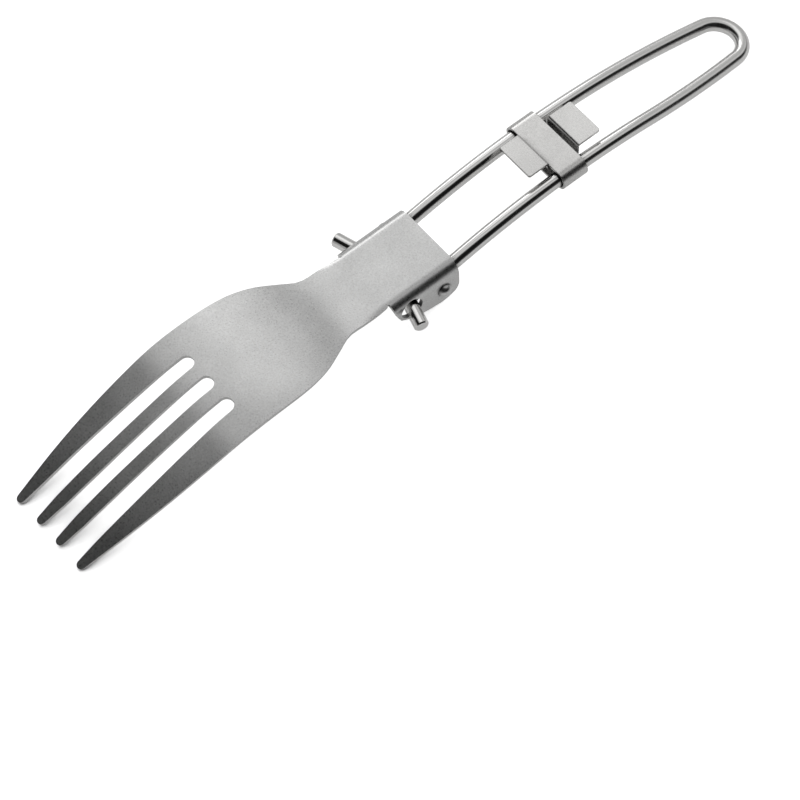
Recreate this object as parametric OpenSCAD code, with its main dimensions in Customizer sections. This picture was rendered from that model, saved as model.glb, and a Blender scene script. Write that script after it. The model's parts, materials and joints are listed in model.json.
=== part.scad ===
// Folding camp fork: a stamped sheet head, a bent wire handle hinged in its two ears,
// and a folded sheet clip that slides on the two wires and locks the handle open.
// The fork lies back up. +X points to the tines, +Z up, and the handle lies along -X.

/* [Sheet] */
// Thickness of the stamped head
sheet_t = 0.9; // [0.8:0.05:1]
// Thickness of the lock clip's sheet
clip_t = 0.7; // [0.5:0.05:0.8]

/* [Head] */
// Outside width over the two ears
ear_w = 18.1; // [18:0.1:19]
// Depth of the ears at their rear end
ear_drop = 8.7; // [8:0.1:9.5]
// Outer radius of the fold between the top plate and an ear
fold_r = 2.8; // [1.8:0.1:2.9]
// Distance from the rear edge to the tips of the tines
head_l = 93.5; // [92:0.1:94]
// Distance from the rear edge to the closed ends of the slots
slot_x = 53; // [50:0.1:57]
// Width of a slot at its closed end
slot_w = 3.1; // [2.9:0.1:3.3]
// Distance between the middles of neighbouring slots
slot_pitch = 6.05; // [5.95:0.05:6.15]
// Distance of an inner tine's tip from the middle
inner_tip = 2.95; // [2.85:0.05:3.05]
// Distance of an outer tine's tip from the middle
outer_tip = 9.35; // [9.25:0.05:9.45]
// Radius of a tine's tip
tip_r = 0.95; // [0.9:0.05:1]

/* [Hinge] */
// Distance from the rear edge to the hinge axis
hinge_x = 11.5; // [10.5:0.1:12]
// Radius of the hole in each ear
hinge_hole_r = 2.1; // [1.95:0.05:2.2]
// Lean of each wire end from the hinge axis
pin_lean = 16; // [10:1:18]
// Length of wire that stands out of each ear
pin_out = 4.1; // [3:0.1:6]

/* [Handle] */
// Diameter of the handle's wire
wire_d = 3; // [2.9:0.05:3.05]
// Distance of each leg from the middle of the handle
leg_y = 6.45; // [6.4:0.05:6.5]
// Distance from the rear edge back to the crest of the handle
crest_back = 30; // [28:1:32]
// Radius of the long upward curve of both legs
crest_r = 142; // [140:1:150]
// Fall of the handle's end from the crest, in degrees
fall = 8.3; // [6:0.1:9]
// Length over which the legs close in before the end loop
close_l = 25; // [20:1:28]
// Radius of the end loop at the wire's middle
loop_r = 5.1; // [4.8:0.1:5.4]

/* [Clip] */
// Length of the sleeve along the handle
sleeve_l = 6; // [5:0.5:7]
// Clearance between the sleeve and the wires
clip_gap = 0.1; // [0.05:0.01:0.1]
// Width of the two tabs
tab_w = 8.9; // [8:0.1:9]
// Length of the lock tab in front of the sleeve
lock_tab_l = 5.4; // [4:0.1:5.5]
// Length of the thumb tab behind the sleeve
thumb_tab_l = 6.8; // [5:0.1:7.5]

/* [Hidden] */
$fn = 48;

wire_r = wire_d / 2;

// The leg's middle under the plate's rear edge, and its slope inside the channel
leg_gap = 0.1;
leg_z = -sheet_t - leg_gap - wire_r;
leg_slope = 5.7;
hinge_z = leg_z - hinge_x * tan(leg_slope);

// Profile of the head's back along its middle: [distance from the rear edge, height]
BACK = [
    [0, 0], [10, 0], [17, 0], [21.3, 0.15], [26.2, 0.6], [34, 2.4], [41.2, 3.45], [49, 3.6],
    [57, 2.8], [65, 0.7], [74, -2.15], [83, -5.35], [head_l, -9.45], [head_l + 6, -12]
];

// Half widths of the head: [distance from the rear edge, half width]
SIDE = [
    [15, 7.9], [18, 7.8], [22, 7.6], [26, 7.75], [30, 9.7], [34, 11.6], [38, 12.75], [42, 13.3],
    [48, 13.55], [57, 13.6], [65, 13.35], [74, 12.75], [83, 11.75], [head_l - tip_r, outer_tip + tip_r]
];

// Edges of the slots: [distance from the rear edge, edge of the middle slot,
// near edge of an outer slot, far edge of an outer slot]
SLOTS = [
    [slot_x + slot_w / 2, slot_w / 2, slot_pitch - slot_w / 2, slot_pitch + slot_w / 2],
    [80, 1.5, 4.4, 8.1], [88, 1.65, 4.25, 8.2],
    [head_l - tip_r, inner_tip - tip_r, inner_tip + tip_r, outer_tip - tip_r],
    [head_l + 2, inner_tip - tip_r, inner_tip + tip_r, outer_tip - tip_r]
];

// The model stands on the lowest point of its box, in the middle of its length and width
tip_slope = 22;
drop_to_base = 9.45 + sheet_t / cos(tip_slope) + 0.03;

close_a = 2 * atan((leg_y - loop_r) / close_l);
close_r = close_l / sin(close_a);
loop_fit_r = (leg_y - close_r * (1 - cos(close_a))) / cos(close_a);
crest_z_rise = crest_r * (1 - cos(front_fall())) + 0.06;
crest_z = leg_z + crest_z_rise;
flat_run = close_l + loop_fit_r * (1 - sin(close_a));
rear_end = crest_back + crest_r * sin(fall) + flat_run * cos(fall) + wire_r;
mid_x = (rear_end - head_l) / 2;

// Angle that the front half of the long curve turns through before the channel
function front_fall() = asin((crest_back - 1.6) / crest_r);

// Smooth curve through control points, with the end points doubled
function smooth4(a, b, c, d, t) =
    0.5 * (2 * b + (c - a) * t + (2 * a - 5 * b + 4 * c - d) * t * t
    + (3 * b - a - 3 * c + d) * t * t * t);
function smooth(p, steps) = [
    for (i = [0 : len(p) - 2], k = [0 : steps - 1])
        smooth4(p[max(i - 1, 0)], p[i], p[i + 1], p[min(i + 2, len(p) - 1)], k / steps),
    p[len(p) - 1]
];

// A ribbon of thickness t on the right-hand side of a line of points
function unit(v) = v / norm(v);
function side_of(p, i) =
    let (d = unit(p[min(i + 1, len(p) - 1)] - p[max(i - 1, 0)])) [d[1], -d[0]];
function ribbon(p, t) = concat(
    p,
    [for (i = [len(p) - 1 : -1 : 0]) p[i] + t * side_of(p, i)]
);
function arc(c, r, from, to, n = 8) = [
    for (k = [0 : n]) c + r * [cos(from + (to - from) * k / n), sin(from + (to - from) * k / n)]
];
function flip(p) = [for (i = [len(p) - 1 : -1 : 0]) [p[i][0], -p[i][1]]];

// Places the design, drawn from the rear edge of the head, in the model's own frame
module placed() {
    translate([mid_x, 0, drop_to_base]) children();
}

// Extrudes an X-Z outline across the fork
module across(width) {
    rotate([90, 0, 0]) linear_extrude(height = width, center = true) children();
}

// ---- head ----

// The opening between two of the slots' edges, each given as its place in SLOTS and its side
module opening(a, side_a, b, side_b) {
    last = len(SLOTS) - 1;
    polygon(concat(
        [for (p = SLOTS) [p[0], side_a * p[a]]],
        [for (i = [last : -1 : 0]) [SLOTS[i][0], side_b * SLOTS[i][b]]]
    ));
}

module head_outline() {
    edge = smooth(SIDE, 5);
    difference() {
        polygon(concat(edge, flip(edge)));
        for (y = [-slot_pitch, 0, slot_pitch]) translate([slot_x + slot_w / 2, y]) circle(d = slot_w);
        opening(1, -1, 1, 1);
        for (s = [-1, 1]) opening(2, s, 3, s);
    }
    for (s = [-1, 1], y = [inner_tip, outer_tip]) translate([head_l - tip_r, s * y]) circle(r = tip_r);
}

module blade() {
    intersection() {
        across(32) polygon(ribbon(smooth(BACK, 4), sheet_t));
        translate([0, 0, -20]) linear_extrude(height = 40) head_outline();
    }
}

module channel_section() {
    outer = ear_w / 2;
    inner_r = fold_r - sheet_t;
    difference() {
        union() {
            translate([-outer, -ear_drop - 2]) square([ear_w, ear_drop + 2 - fold_r]);
            translate([-outer + fold_r, -fold_r - 1]) square([ear_w - 2 * fold_r, fold_r + 1]);
            for (s = [-1, 1]) translate([s * (outer - fold_r), -fold_r]) circle(r = fold_r);
        }
        translate([-outer + sheet_t, -ear_drop - 3])
            square([ear_w - 2 * sheet_t, ear_drop + 3 - fold_r]);
        translate([-outer + fold_r, -fold_r - 1])
            square([ear_w - 2 * fold_r, fold_r + 1 - sheet_t]);
        for (s = [-1, 1]) translate([s * (outer - fold_r), -fold_r]) circle(r = inner_r);
    }
}

// Side view of the ears, from the rear edge to the notch at the neck
module ear_outline() {
    polygon(concat(
        [[16.4, 1], [0, 1]],
        arc([3, -ear_drop + 3], 3, 180, 260),
        arc([11.9, -4.9], 2.7, 280, 355)
    ));
}

module channel() {
    intersection() {
        rotate([90, 0, 90]) linear_extrude(height = 16.4) channel_section();
        across(30) ear_outline();
    }
}

module hinge_holes() {
    translate([hinge_x, 0, hinge_z]) rotate([90, 0, 0])
        cylinder(r = hinge_hole_r, h = ear_w + 2, center = true);
}

// The detent in each ear: a dent outside and a low bump inside
detent_x = 3.9;
detent_z = -5.2;
module detents() {
    dent_r = 1.7;
    difference() {
        union() {
            children();
            intersection() {
                for (s = [-1, 1])
                    translate([detent_x, s * (ear_w / 2 - sheet_t + 2.85), detent_z]) sphere(r = 3);
                translate([0, -ear_w / 2 + 0.3, -ear_drop]) cube([8, ear_w - 0.6, ear_drop]);
            }
        }
        for (s = [-1, 1]) translate([detent_x, s * (ear_w / 2 + 1.1), detent_z]) sphere(r = dent_r);
    }
}

module head() {
    color("silver") placed() difference() {
        detents() union() {
            blade();
            channel();
        }
        hinge_holes();
    }
}

// ---- handle ----

exit_turn = front_fall() - leg_slope;
exit_r = 15;
hinge_bend_r = 2.1;
bend_a = 90 - pin_lean;
wire_sides = 16;

// Unit vectors in the fork's long upright plane, at an angle below the horizontal
function ahead(a) = [cos(a), 0, -sin(a)];
function back(a) = [-cos(a), 0, -sin(a)];
function above(a) = [sin(a), 0, cos(a)];
Y = [0, 1, 0];

crest = [-crest_back, leg_y, crest_z];

// The wire's middle, from the crest forward to the start of the free end
arc_end = crest + crest_r * (ahead(0) * sin(front_fall()) - [0, 0, 1 - cos(front_fall())]);
exit_c = arc_end + exit_r * above(front_fall());
exit_end = exit_c - exit_r * above(leg_slope);
bend_y = leg_y + hinge_bend_r * (1 - cos(bend_a));
ear_mid_y = (ear_w - sheet_t) / 2;
bend_run = hinge_bend_r * sin(bend_a) + (ear_mid_y - bend_y) / tan(bend_a);
leg_run = (hinge_x - exit_end[0]) / cos(leg_slope) - bend_run;
leg_end = exit_end + leg_run * ahead(leg_slope);
bend_c = leg_end + hinge_bend_r * Y;
bend_end = bend_c + hinge_bend_r * (ahead(leg_slope) * sin(bend_a) - Y * cos(bend_a));
pin_dir = ahead(leg_slope) * cos(bend_a) + Y * sin(bend_a);
FRONT = concat(
    [for (k = [0 : 9]) let (t = front_fall() * k / 9)
        crest + crest_r * (ahead(0) * sin(t) - [0, 0, 1 - cos(t)])],
    [for (k = [1 : 3]) exit_c - exit_r * above(front_fall() - exit_turn * k / 3)],
    [for (k = [0 : 7]) let (t = bend_a * k / 7)
        bend_c + hinge_bend_r * (ahead(leg_slope) * sin(t) - Y * cos(t))],
    [bend_end + 0.8 * pin_dir]
);

// The wire's middle, from the crest back to the end loop
fall_end = crest + crest_r * (back(0) * sin(fall) - [0, 0, 1 - cos(fall)]);
close_end = fall_end + close_r * (back(fall) * sin(close_a) - Y * (1 - cos(close_a)));
loop_c = close_end - loop_fit_r * (Y * cos(close_a) + back(fall) * sin(close_a));
REAR = concat(
    [for (k = [1 : 7]) let (t = fall * k / 7) crest + crest_r * (back(0) * sin(t) - [0, 0, 1 - cos(t)])],
    [for (k = [1 : 6]) let (t = close_a * k / 6)
        fall_end + close_r * (back(fall) * sin(t) - Y * (1 - cos(t)))],
    [for (k = [1 : 9]) let (t = close_a + (90 - close_a) * k / 9)
        loop_c + loop_fit_r * (Y * cos(t) + back(fall) * sin(t))]
);

function reversed(p) = [for (i = [len(p) - 1 : -1 : 0]) p[i]];
function other_side(p) = [for (q = p) [q[0], -q[1], q[2]]];
function without_last(p) = [for (i = [0 : len(p) - 2]) p[i]];
HALF = concat(reversed(FRONT), REAR);
WIRE = concat(HALF, other_side(reversed(without_last(HALF))));

// A round wire swept along a line of points that never stands upright
function ring(p, i) =
    let (
        t = unit(p[min(i + 1, len(p) - 1)] - p[max(i - 1, 0)]),
        u = unit(cross(t, [0, 0, 1])),
        v = cross(u, t)
    )
    [for (k = [0 : wire_sides - 1]) let (a = 360 * (k + 0.5) / wire_sides)
        p[i] + ring_r(i, len(p) - 1) * (u * cos(a) + v * sin(a))];

// The sweep slims where it runs into the true round pins
function ring_r(i, last) = min(i, last - i) < 2 ? 0.96 * wire_r : wire_r;

module swept_wire(p) {
    n = wire_sides;
    last = len(p) - 1;
    points = [for (i = [0 : last]) each ring(p, i)];
    sides = [for (i = [0 : last - 1], k = [0 : n - 1]) each [
        [i * n + k, i * n + (k + 1) % n, (i + 1) * n + k],
        [i * n + (k + 1) % n, (i + 1) * n + (k + 1) % n, (i + 1) * n + k]
    ]];
    caps = [[for (k = [n - 1 : -1 : 0]) k], [for (k = [0 : n - 1]) last * n + k]];
    polyhedron(points, concat(sides, caps));
}

// The free end of the wire, a true round pin that passes through an ear
module pin() {
    start = bend_end + 0.05 * pin_dir;
    reach = (ear_w / 2 + pin_out - start[1]) / pin_dir[1];
    translate(start) rotate([0, leg_slope, 0]) rotate([0, 0, bend_a]) rotate([0, 90, 0])
        cylinder(r = wire_r, h = reach);
}

module handle() {
    color("gainsboro") placed() {
        swept_wire(WIRE);
        pin();
        mirror([0, 1, 0]) pin();
    }
}

// ---- lock clip ----

module sleeve_section(r) {
    for (s = [-1, 1]) translate([s * leg_y, 0]) circle(r = r);
    translate([-leg_y, -r]) square([2 * leg_y, 2 * r]);
}

module sleeve() {
    rotate([90, 0, 90]) linear_extrude(height = sleeve_l, center = true) difference() {
        sleeve_section(wire_r + clip_gap + clip_t);
        sleeve_section(wire_r + clip_gap);
    }
}

// The lock tab steps up from the sleeve's top sheet and reaches over the head's plate
module lock_tab() {
    top = wire_r + clip_gap + clip_t;
    x = sleeve_l / 2;
    step_up = 1.5;
    across(tab_w) polygon(ribbon([
        [x - 0.4, top], [x, top], [x + 0.5, top + 0.35], [x + 0.9, top + step_up - 0.35],
        [x + 1.4, top + step_up], [x + lock_tab_l, top + step_up]
    ], clip_t));
}

// The thumb tab springs from the sleeve's bottom sheet and rises between the wires
module thumb_tab() {
    low = -wire_r - clip_gap;
    x = -sleeve_l / 2;
    rise = 4.5;
    across(tab_w) polygon(ribbon(concat(
        [[x - thumb_tab_l, low + rise]],
        arc([x - 1.6, low + rise - 0.75], 0.75, 90, 5, 5),
        arc([x, low + 0.75], 0.75, 185, 270, 5),
        [[x + 0.4, low]]
    ), clip_t));
}

module lock_clip() {
    color("lightgray") placed() translate([-crest_back, 0, crest_z]) {
        sleeve();
        lock_tab();
        thumb_tab();
    }
}

head();
handle();
lock_clip();
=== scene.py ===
"""Folding camp fork: a stamped steel head, a bent wire handle and a sliding lock clip.

The fork lies back up with its tines towards +X. Each maker below works in millimetres from the
rear edge of the head's plate, and set_down puts the finished points in the model's own frame.
"""

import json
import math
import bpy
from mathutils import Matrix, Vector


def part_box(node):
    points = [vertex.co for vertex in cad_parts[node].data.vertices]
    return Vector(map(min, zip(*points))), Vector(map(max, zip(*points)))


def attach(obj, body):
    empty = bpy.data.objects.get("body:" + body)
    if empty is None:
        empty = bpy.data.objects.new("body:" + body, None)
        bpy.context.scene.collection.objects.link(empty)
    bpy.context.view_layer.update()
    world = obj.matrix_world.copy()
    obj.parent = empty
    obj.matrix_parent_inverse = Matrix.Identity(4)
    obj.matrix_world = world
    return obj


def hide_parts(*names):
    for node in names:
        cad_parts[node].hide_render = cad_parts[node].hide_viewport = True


bl_info = {
    "name": "Folding camp fork",
    "version": (1, 0, 0),
    "blender": (4, 5, 0),
    "location": "View3D > Sidebar > Camp fork",
    "description": "Makes a folding camp fork in stainless steel, with its studio",
    "category": "Add Mesh",
}

from bisect import bisect_right

import bmesh
import bpy
from mathutils import Matrix, Vector

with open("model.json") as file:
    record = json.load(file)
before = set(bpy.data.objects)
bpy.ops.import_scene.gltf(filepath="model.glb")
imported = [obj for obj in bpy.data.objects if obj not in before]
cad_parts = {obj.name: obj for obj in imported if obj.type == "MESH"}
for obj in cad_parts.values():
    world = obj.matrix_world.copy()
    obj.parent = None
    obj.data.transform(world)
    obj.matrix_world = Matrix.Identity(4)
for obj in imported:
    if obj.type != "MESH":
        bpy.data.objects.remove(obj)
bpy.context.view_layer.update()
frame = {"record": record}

MM = 0.001
JOIN_REACH = 0.000005
REAR_EDGE_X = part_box("head")[0].x
PLATE_TOP_Z = frame["record"]["mounts"][0]["pos_m"][2]

# The head's back along its middle: (distance from the rear edge, height), in millimetres
BACK_LINE = [
    (0, 0), (10, 0), (17, 0), (21.3, 0.15), (26.2, 0.7), (34, 2.5), (41.2, 3.6), (49, 3.85),
    (57, 3.1), (65, 1), (74, -1.85), (83, -5), (93.5, -9.15), (99.5, -11.7),
]
# Half width of the blade from the notch behind the ears to the tips
SIDE_LINE = [
    (0, 7.15), (15.9, 7.15), (16.2, 7.35), (16.7, 7.5), (17.6, 7.6), (19, 7.65), (22, 7.6), (26, 7.75),
    (30, 9.7), (34, 11.6), (38, 12.75), (42, 13.3), (48, 13.55), (57, 13.6), (65, 13.35), (74, 12.75),
    (83, 11.75), (92.55, 10.3), (94, 10.05),
]
# How far the blade's edges hang below its middle
DISH_LINE = [
    (0, 0), (22, 0), (28, 0.2), (34, 0.4), (45, 0.6), (60, 0.65), (75, 0.65), (94, 0.5),
]
# Bottom edge of an ear from its rear corner to its front corner
EAR_BOTTOM = [
    (0.88, 7.82), (1.8, 8.45), (3, 8.7), (5.5, 8.5), (8, 8.2), (10.5, 7.6), (12.7, 6.8), (14.5, 5.1),
]
# Front edge of an ear: (distance below the plate, distance from the rear edge)
EAR_FRONT = [(0, 15.9), (1.5, 15.7), (3.3, 15.3), (5.1, 14.5), (9, 13)]
EAR_REAR_STRAIGHT = 5.7
EAR_CORNER_R = 3
# Slots past their closed ends: (distance from the rear edge, edge of the middle slot, near edge
# and far edge of an outer slot)
SLOT_LINES = [(80, 1.5, 4.4, 8.1), (88, 1.65, 4.25, 8.2), (92.55, 2, 3.9, 8.4)]
# Ends of the plate's full width and of its bent-down edges
NECK_X = 15.9
NECK_END_X = 24
# Pivot hole and detent in each ear, as (distance from the rear edge, height)
HINGE_X = 11.5
HOLE_Z = -3.65
HOLE_R = 2.3
HOLE_STRETCH = 0.6
CUTTER_LENGTH = 30
DETENT = (3.8, -4.9)
DENT_R = 0.95
BUMP_BALL_R = 1.5


# ---- settings ----

def size(name, description, default, low, high, precision=5):
    """A length setting."""
    return bpy.props.FloatProperty(
        name=name, description=description, default=default, min=low, max=high,
        unit="LENGTH", precision=precision,
    )


def tone(name, description, default):
    """A colour setting."""
    return bpy.props.FloatVectorProperty(
        name=name, description=description, default=default, min=0, max=1, subtype="COLOR"
    )


class HeadSettings(bpy.types.PropertyGroup):
    """Sizes of the stamped head"""

    thickness: size("Sheet thickness", "Thickness of the head's sheet", 0.0009, 0.0007, 0.0012)
    ear_width: size("Width over ears", "Outside width over the two ears", 0.0181, 0.017, 0.019)
    fold_radius: size(
        "Fold radius", "Outer radius of the fold from the plate to an ear", 0.0028, 0.0018, 0.0029
    )
    length: size("Length", "From the rear edge to the tips of the tines", 0.0935, 0.09, 0.095)
    slot_start: size(
        "Slot start", "From the rear edge to the closed ends of the slots", 0.0530, 0.05, 0.057
    )
    slot_width: size("Slot width", "Width of a slot at its closed end", 0.0031, 0.0029, 0.0033)
    rim: size("Rim", "Width of the softened cut edges", 0.00009, 0.00003, 0.0002, 6)
    bump: size("Detent bump", "Height of the bump inside each ear", 0.0007, 0.0002, 0.0009)


class WireSettings(bpy.types.PropertyGroup):
    """Sizes of the bent wire handle"""

    diameter: size("Wire diameter", "Diameter of the handle's wire", 0.003, 0.0028, 0.0031)
    leg_spread: size(
        "Leg spread", "Distance of each leg from the handle's middle", 0.00645, 0.0062, 0.0066
    )
    crest_radius: size("Arch radius", "Radius of the long arch of both legs", 0.142, 0.13, 0.16)
    fall: bpy.props.FloatProperty(
        name="Fall", description="Fall of the handle's end from its crest",
        default=math.radians(8.3), min=0.05, max=0.2, subtype="ANGLE",
    )
    loop_radius: size(
        "Loop radius", "Radius of the end loop at the wire's middle", 0.0051, 0.0045, 0.0056
    )
    pin_length: size("Pin length", "Length of wire that stands out of each ear", 0.0041, 0.003, 0.005)


class ClipSettings(bpy.types.PropertyGroup):
    """Sizes of the lock clip"""

    thickness: size("Sheet thickness", "Thickness of the clip's sheet", 0.00055, 0.0005, 0.0008)
    sleeve_length: size("Sleeve length", "Length of the sleeve along the handle", 0.006, 0.005, 0.007)
    tab_width: size("Tab width", "Width of the two tabs", 0.0089, 0.008, 0.009)
    corner: size("Corner radius", "Radius of the tabs' corners", 0.00045, 0.0003, 0.0015)


class FinishSettings(bpy.types.PropertyGroup):
    """Colours of the three finishes"""

    satin: tone("Satin steel", "Colour of the head's satin steel", (0.6, 0.6, 0.595))
    polished: tone("Polished wire", "Colour of the handle's polished wire", (0.72, 0.715, 0.705))
    clip: tone("Clip steel", "Colour of the clip's steel", (0.64, 0.635, 0.625))


class StageSettings(bpy.types.PropertyGroup):
    """Camera and light"""

    azimuth: bpy.props.FloatProperty(
        name="Azimuth", description="Direction of the camera round the fork, from +X",
        default=math.radians(52.3), subtype="ANGLE",
    )
    elevation: bpy.props.FloatProperty(
        name="Elevation", description="Height of the camera above the floor, as an angle",
        default=math.radians(59.25), subtype="ANGLE",
    )
    roll: bpy.props.FloatProperty(
        name="Roll", description="Tilt of the camera about its own line of sight",
        default=math.radians(-2.34), subtype="ANGLE",
    )
    distance: bpy.props.FloatProperty(
        name="Distance", description="Distance of the camera from the point it looks at",
        default=0.791, unit="LENGTH",
    )
    lens: bpy.props.FloatProperty(
        name="Lens", description="Focal length in millimetres", default=184.6, min=50, max=300,
    )
    aim: bpy.props.FloatVectorProperty(
        name="Aim", description="Point in the middle of the view", subtype="XYZ",
        default=(0.015666, 0.016934, -0.006256), precision=5,
    )
    light: bpy.props.FloatProperty(
        name="Light", description="Strength of the soft lights", default=1, min=0, max=5,
    )


# ---- making by hand ----

def set_down(x, y, z):
    """A point in millimetres from the head's rear edge, as a place in the model's frame."""
    return Vector((REAR_EDGE_X + x * MM, y * MM, PLATE_TOP_Z + z * MM))


def smooth_line(points, steps=16):
    """A fine polyline through the points of a soft curve."""
    line = []
    last = len(points) - 1
    for i in range(last):
        a, b, c, d = points[max(i - 1, 0)], points[i], points[i + 1], points[min(i + 2, last)]
        for k in range(steps):
            t = k / steps
            line.append(tuple(
                0.5 * (2 * q + (r - p) * t + (2 * p - 5 * q + 4 * r - s) * t * t
                       + (3 * q - p - 3 * r + s) * t ** 3)
                for p, q, r, s in zip(a, b, c, d)
            ))
    line.append(points[-1])
    return line


def read_line(line, x):
    """The second value of a polyline at x, held at its ends."""
    if x <= line[0][0]:
        return line[0][1]
    if x >= line[-1][0]:
        return line[-1][1]
    i = bisect_right([p[0] for p in line], x) - 1
    (x0, v0), (x1, v1) = line[i], line[i + 1]
    return v0 + (v1 - v0) * (x - x0) / (x1 - x0)


def mix(a, b, t):
    return a + (b - a) * t


def ease(t):
    t = min(max(t, 0), 1)
    return t * t * (3 - 2 * t)


def pick(piece):
    bpy.ops.object.select_all(action="DESELECT")
    piece.select_set(True)
    bpy.context.view_layer.objects.active = piece


def start_edit(piece):
    pick(piece)
    bpy.ops.object.mode_set(mode="EDIT")
    bpy.ops.mesh.select_all(action="DESELECT")


def end_edit():
    bpy.ops.object.mode_set(mode="OBJECT")


def add_sheet(name, rows, columns):
    """A flat sheet of rows along x and columns along y, one unit square, ready to be shaped."""
    bpy.ops.mesh.primitive_grid_add(
        x_subdivisions=rows, y_subdivisions=columns, size=1, calc_uvs=True
    )
    piece = bpy.context.object
    piece.name = name
    piece.data.name = name
    if len(piece.data.vertices) != (rows + 1) * (columns + 1):
        raise RuntimeError(f"{name}: the sheet has {len(piece.data.vertices)} corners")
    return piece


def cut_away(piece, rows, columns, waste):
    """Deletes the sheet's faces for which waste(row, column) is true."""
    start_edit(piece)
    bm = bmesh.from_edit_mesh(piece.data)
    bm.select_mode = {"FACE"}
    for face in bm.faces:
        middle = face.calc_center_median()
        row = int((middle.x + 0.5) * rows)
        column = int((middle.y + 0.5) * columns)
        face.select_set(waste(row, column))
    bm.select_flush_mode()
    bmesh.update_edit_mesh(piece.data)
    bpy.ops.mesh.delete(type="FACE")
    end_edit()


def form(piece, rows, columns, place):
    """Moves each corner of the flat sheet to place(row, column)."""
    for v in piece.data.vertices:
        v.co = place(round((v.co.x + 0.5) * rows), round((v.co.y + 0.5) * columns))


def join_corners():
    """Joins the corners that meet, in the piece being edited."""
    bpy.ops.mesh.select_all(action="SELECT")
    bpy.ops.mesh.remove_doubles(threshold=JOIN_REACH)


def apply_all(piece):
    pick(piece)
    for modifier in list(piece.modifiers):
        bpy.ops.object.modifier_apply(modifier=modifier.name)


def thicken(piece, thickness):
    solid = piece.modifiers.new("Sheet", "SOLIDIFY")
    solid.thickness = thickness
    solid.offset = -1
    solid.use_even_offset = True
    apply_all(piece)


def soften(piece, width):
    rim = piece.modifiers.new("Rim", "BEVEL")
    rim.width = width
    rim.segments = 2
    rim.limit_method = "ANGLE"
    rim.angle_limit = math.radians(50)
    apply_all(piece)


def carve(piece, cutter, operation="DIFFERENCE"):
    cut = piece.modifiers.new("Cut", "BOOLEAN")
    cut.operation = operation
    cut.solver = "EXACT"
    cut.object = cutter
    apply_all(piece)
    bpy.data.objects.remove(cutter)


def shade(piece, angle=20):
    pick(piece)
    bpy.ops.object.shade_smooth_by_angle(angle=math.radians(angle))


def finish_piece(piece, material, body):
    piece.data.materials.clear()
    piece.data.materials.append(material)
    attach(piece, body)
    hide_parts(body)


# ---- finishes ----

def group_socket(tree, name, kind, inward, value=None):
    socket = tree.interface.new_socket(
        name=name, in_out="INPUT" if inward else "OUTPUT", socket_type=f"NodeSocket{kind}"
    )
    if value is not None:
        socket.default_value = value
    return socket


def new_group(name, inputs, outputs):
    """A shader node group with its ends placed. Inputs are (name, kind, value)."""
    tree = bpy.data.node_groups.new(name, "ShaderNodeTree")
    for label, kind, value in inputs:
        group_socket(tree, label, kind, True, value)
    for label, kind in outputs:
        group_socket(tree, label, kind, False)
    start = tree.nodes.new("NodeGroupInput")
    start.location = (-900, 0)
    end = tree.nodes.new("NodeGroupOutput")
    end.location = (900, 0)
    return tree, start, end


def add_node(tree, kind, x, y, **values):
    node = tree.nodes.new(f"ShaderNode{kind}")
    node.location = (x, y)
    for key, value in values.items():
        setattr(node, key, value)
    return node


def math_node(tree, operation, x, y, a=None, b=None):
    node = add_node(tree, "Math", x, y, operation=operation)
    for i, value in enumerate((a, b)):
        if isinstance(value, (int, float)):
            node.inputs[i].default_value = value
        elif value is not None:
            tree.links.new(value, node.inputs[i])
    return node.outputs[0]


def remap(tree, value, low, high, to_low, to_high, x, y):
    node = add_node(tree, "MapRange", x, y)
    for i, number in ((1, low), (2, high), (3, to_low), (4, to_high)):
        if isinstance(number, (int, float)):
            node.inputs[i].default_value = number
        else:
            tree.links.new(number, node.inputs[i])
    tree.links.new(value, node.inputs[0])
    return node.outputs[0]


def blend_colour(tree, factor, a, b, x, y):
    node = add_node(tree, "Mix", x, y, data_type="RGBA")
    tree.links.new(factor, node.inputs[0])
    for socket, value in ((node.inputs[6], a), (node.inputs[7], b)):
        if isinstance(value, tuple):
            socket.default_value = value
        else:
            tree.links.new(value, socket)
    return node.outputs[2]


def noise(tree, vector, scale, detail, x, y, rough=0.5):
    node = add_node(tree, "TexNoise", x, y)
    node.inputs["Scale"].default_value = scale
    node.inputs["Detail"].default_value = detail
    node.inputs["Roughness"].default_value = rough
    tree.links.new(vector, node.inputs["Vector"])
    return node.outputs[0]


def stretched(tree, vector, amount, x, y, turn=0):
    node = add_node(tree, "Mapping", x, y)
    node.inputs["Scale"].default_value = amount
    node.inputs["Rotation"].default_value = (0, 0, turn)
    tree.links.new(vector, node.inputs["Vector"])
    return node.outputs[0]


def make_grain_group():
    """Fine blasted and tumbled grain: a soft speckle over a broad cloud."""
    tree, start, end = new_group(
        "Tumbled grain",
        [("Vector", "Vector", None), ("Fine", "Float", 3000.0), ("Broad", "Float", 120.0)],
        [("Speckle", "Float"), ("Cloud", "Float")],
    )
    fine = add_node(tree, "TexNoise", -300, 200)
    fine.inputs["Detail"].default_value = 4
    fine.inputs["Roughness"].default_value = 0.65
    broad = add_node(tree, "TexNoise", -300, -200)
    broad.inputs["Detail"].default_value = 3
    for node, scale in ((fine, "Fine"), (broad, "Broad")):
        tree.links.new(start.outputs["Vector"], node.inputs["Vector"])
        tree.links.new(start.outputs[scale], node.inputs["Scale"])
    tree.links.new(remap(tree, fine.outputs[0], 0.3, 0.7, 0, 1, 200, 200), end.inputs["Speckle"])
    tree.links.new(remap(tree, broad.outputs[0], 0.35, 0.65, 0, 1, 200, -200), end.inputs["Cloud"])
    return tree


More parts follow.
